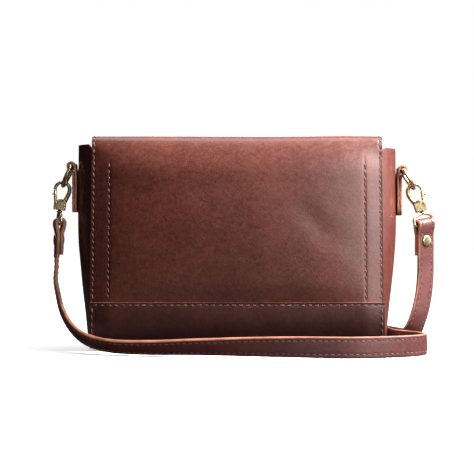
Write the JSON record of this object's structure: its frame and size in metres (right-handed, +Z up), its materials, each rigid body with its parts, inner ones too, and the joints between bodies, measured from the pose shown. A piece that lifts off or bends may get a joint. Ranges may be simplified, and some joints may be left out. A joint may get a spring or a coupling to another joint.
{
  "type": "crossbody purse",
  "caption": "Structured leather crossbody purse with a fold-over flap, gusseted sides, brass trigger-hook clasps on D-rings and a stitched clip-on shoulder strap.",
  "frame": {"origin": "centre of the base, on the floor", "axes": "+Z up; -Y towards the plain back of the purse; +Y towards the front, where the flap hangs; +X to the right when the back is looked at"},
  "size_m": [0.364, 0.2114, 0.2],
  "materials": {
    "oxblood_hide": "smooth semi-gloss",
    "gusset_hide": "smooth semi-gloss",
    "suede": "napped flesh side",
    "strap_hide": "smooth semi-gloss",
    "brass": "antique polished",
    "steel": "bright",
    "stiffener": "matt"
  },
  "bodies": {
    "purse": {"back_panel": "oxblood_hide", "front_panel": "oxblood_hide", "bottom_band": "oxblood_hide", "base_board": "stiffener", "slip_pocket": "suede", "left_gusset": "gusset_hide", "right_gusset": "gusset_hide", "left_ring_tab": "gusset_hide", "right_ring_tab": "gusset_hide", "snap_socket": "brass", "snap_socket_washer": "steel", "strap_run": "strap_hide"},
    "flap_crown": {"flap_crown": "oxblood_hide"},
    "flap_drop": {"flap_drop": "oxblood_hide", "flap_facing": "suede", "snap_stud": "brass", "snap_stud_washer": "steel"},
    "left_ring": {"left_d_ring": "brass"},
    "left_eye": {"left_swivel_eye": "brass"},
    "left_clasp": {"left_hook": "brass", "left_gate_pin": "steel", "left_gate_spring": "steel"},
    "left_gate_lever": {"left_gate": "brass"},
    "left_strap_fold": {"left_strap_end": "strap_hide", "left_stud_cap": "brass", "left_stud_screw": "brass"},
    "right_ring": {"right_d_ring": "brass"},
    "right_eye": {"right_swivel_eye": "brass"},
    "right_clasp": {"right_hook": "brass", "right_gate_pin": "steel", "right_gate_spring": "steel"},
    "right_gate_lever": {"right_gate": "brass"},
    "right_strap_fold": {"right_strap_end": "strap_hide", "right_stud_cap": "brass", "right_stud_screw": "brass"}
  },
  "joints": [
    {"name": "flap_lift", "type": "hinge", "parent": "purse", "child": "flap_crown", "pos_m": [0, -0.03019, 0.19619], "axis": [1, 0, 0], "range_deg": [0, 170]},
    {"name": "flap_unroll", "type": "hinge", "parent": "flap_crown", "child": "flap_drop", "pos_m": [0, 0.0343, 0.1959], "axis": [1, 0, 0], "range_deg": [0, 85]},
    {"name": "left_ring_swing", "type": "hinge", "parent": "purse", "child": "left_ring", "pos_m": [-0.1565, 0, 0.173], "axis": [0, 1, 0], "range_deg": [0, 40]},
    {"name": "left_clasp_hang", "type": "hinge", "parent": "left_ring", "child": "left_eye", "pos_m": [-0.16516, 0, 0.15442], "axis": [0, 1, 0], "range_deg": [-8, 0]},
    {"name": "left_hook_spin", "type": "hinge", "parent": "left_eye", "child": "left_clasp", "pos_m": [-0.16464, 0, 0.15793], "axis": [-0.1478, 0, -0.989], "range_deg": [-25, 25]},
    {"name": "left_gate_open", "type": "hinge", "parent": "left_clasp", "child": "left_gate_lever", "pos_m": [-0.17212, 0, 0.13903], "axis": [0, 1, 0], "range_deg": [0, 24]},
    {"name": "left_strap_sway", "type": "hinge", "parent": "purse", "child": "left_strap_fold", "pos_m": [-0.15564, 0, 0.17211], "axis": [0, 1, 0], "range_deg": [0, 35.3]},
    {"name": "right_ring_swing", "type": "hinge", "parent": "purse", "child": "right_ring", "pos_m": [0.1565, 0, 0.1695], "axis": [0, -1, 0], "range_deg": [0, 40]},
    {"name": "right_clasp_hang", "type": "hinge", "parent": "right_ring", "child": "right_eye", "pos_m": [0.16767, 0, 0.15231], "axis": [0, -1, 0], "range_deg": [-8, 0]},
    {"name": "right_hook_spin", "type": "hinge", "parent": "right_eye", "child": "right_clasp", "pos_m": [0.16651, 0, 0.15566], "axis": [0.3256, 0, -0.9455], "range_deg": [-25, 25]},
    {"name": "right_gate_open", "type": "hinge", "parent": "right_clasp", "child": "right_gate_lever", "pos_m": [0.1773, 0, 0.13844], "axis": [0, -1, 0], "range_deg": [0, 24]},
    {"name": "right_strap_sway", "type": "hinge", "parent": "purse", "child": "right_strap_fold", "pos_m": [0.15595, 0, 0.16853], "axis": [0, -1, 0], "range_deg": [0, 35.3]}
  ],
  "couplings": [
    {"joint": "flap_unroll", "follows": "flap_lift", "ratio": 0.5},
    {"joint": "left_clasp_hang", "follows": "left_ring_swing", "ratio": -0.2},
    {"joint": "left_strap_sway", "follows": "left_ring_swing", "ratio": 0.8822},
    {"joint": "right_clasp_hang", "follows": "right_ring_swing", "ratio": -0.2},
    {"joint": "right_strap_sway", "follows": "right_ring_swing", "ratio": 0.8823}
  ]
}
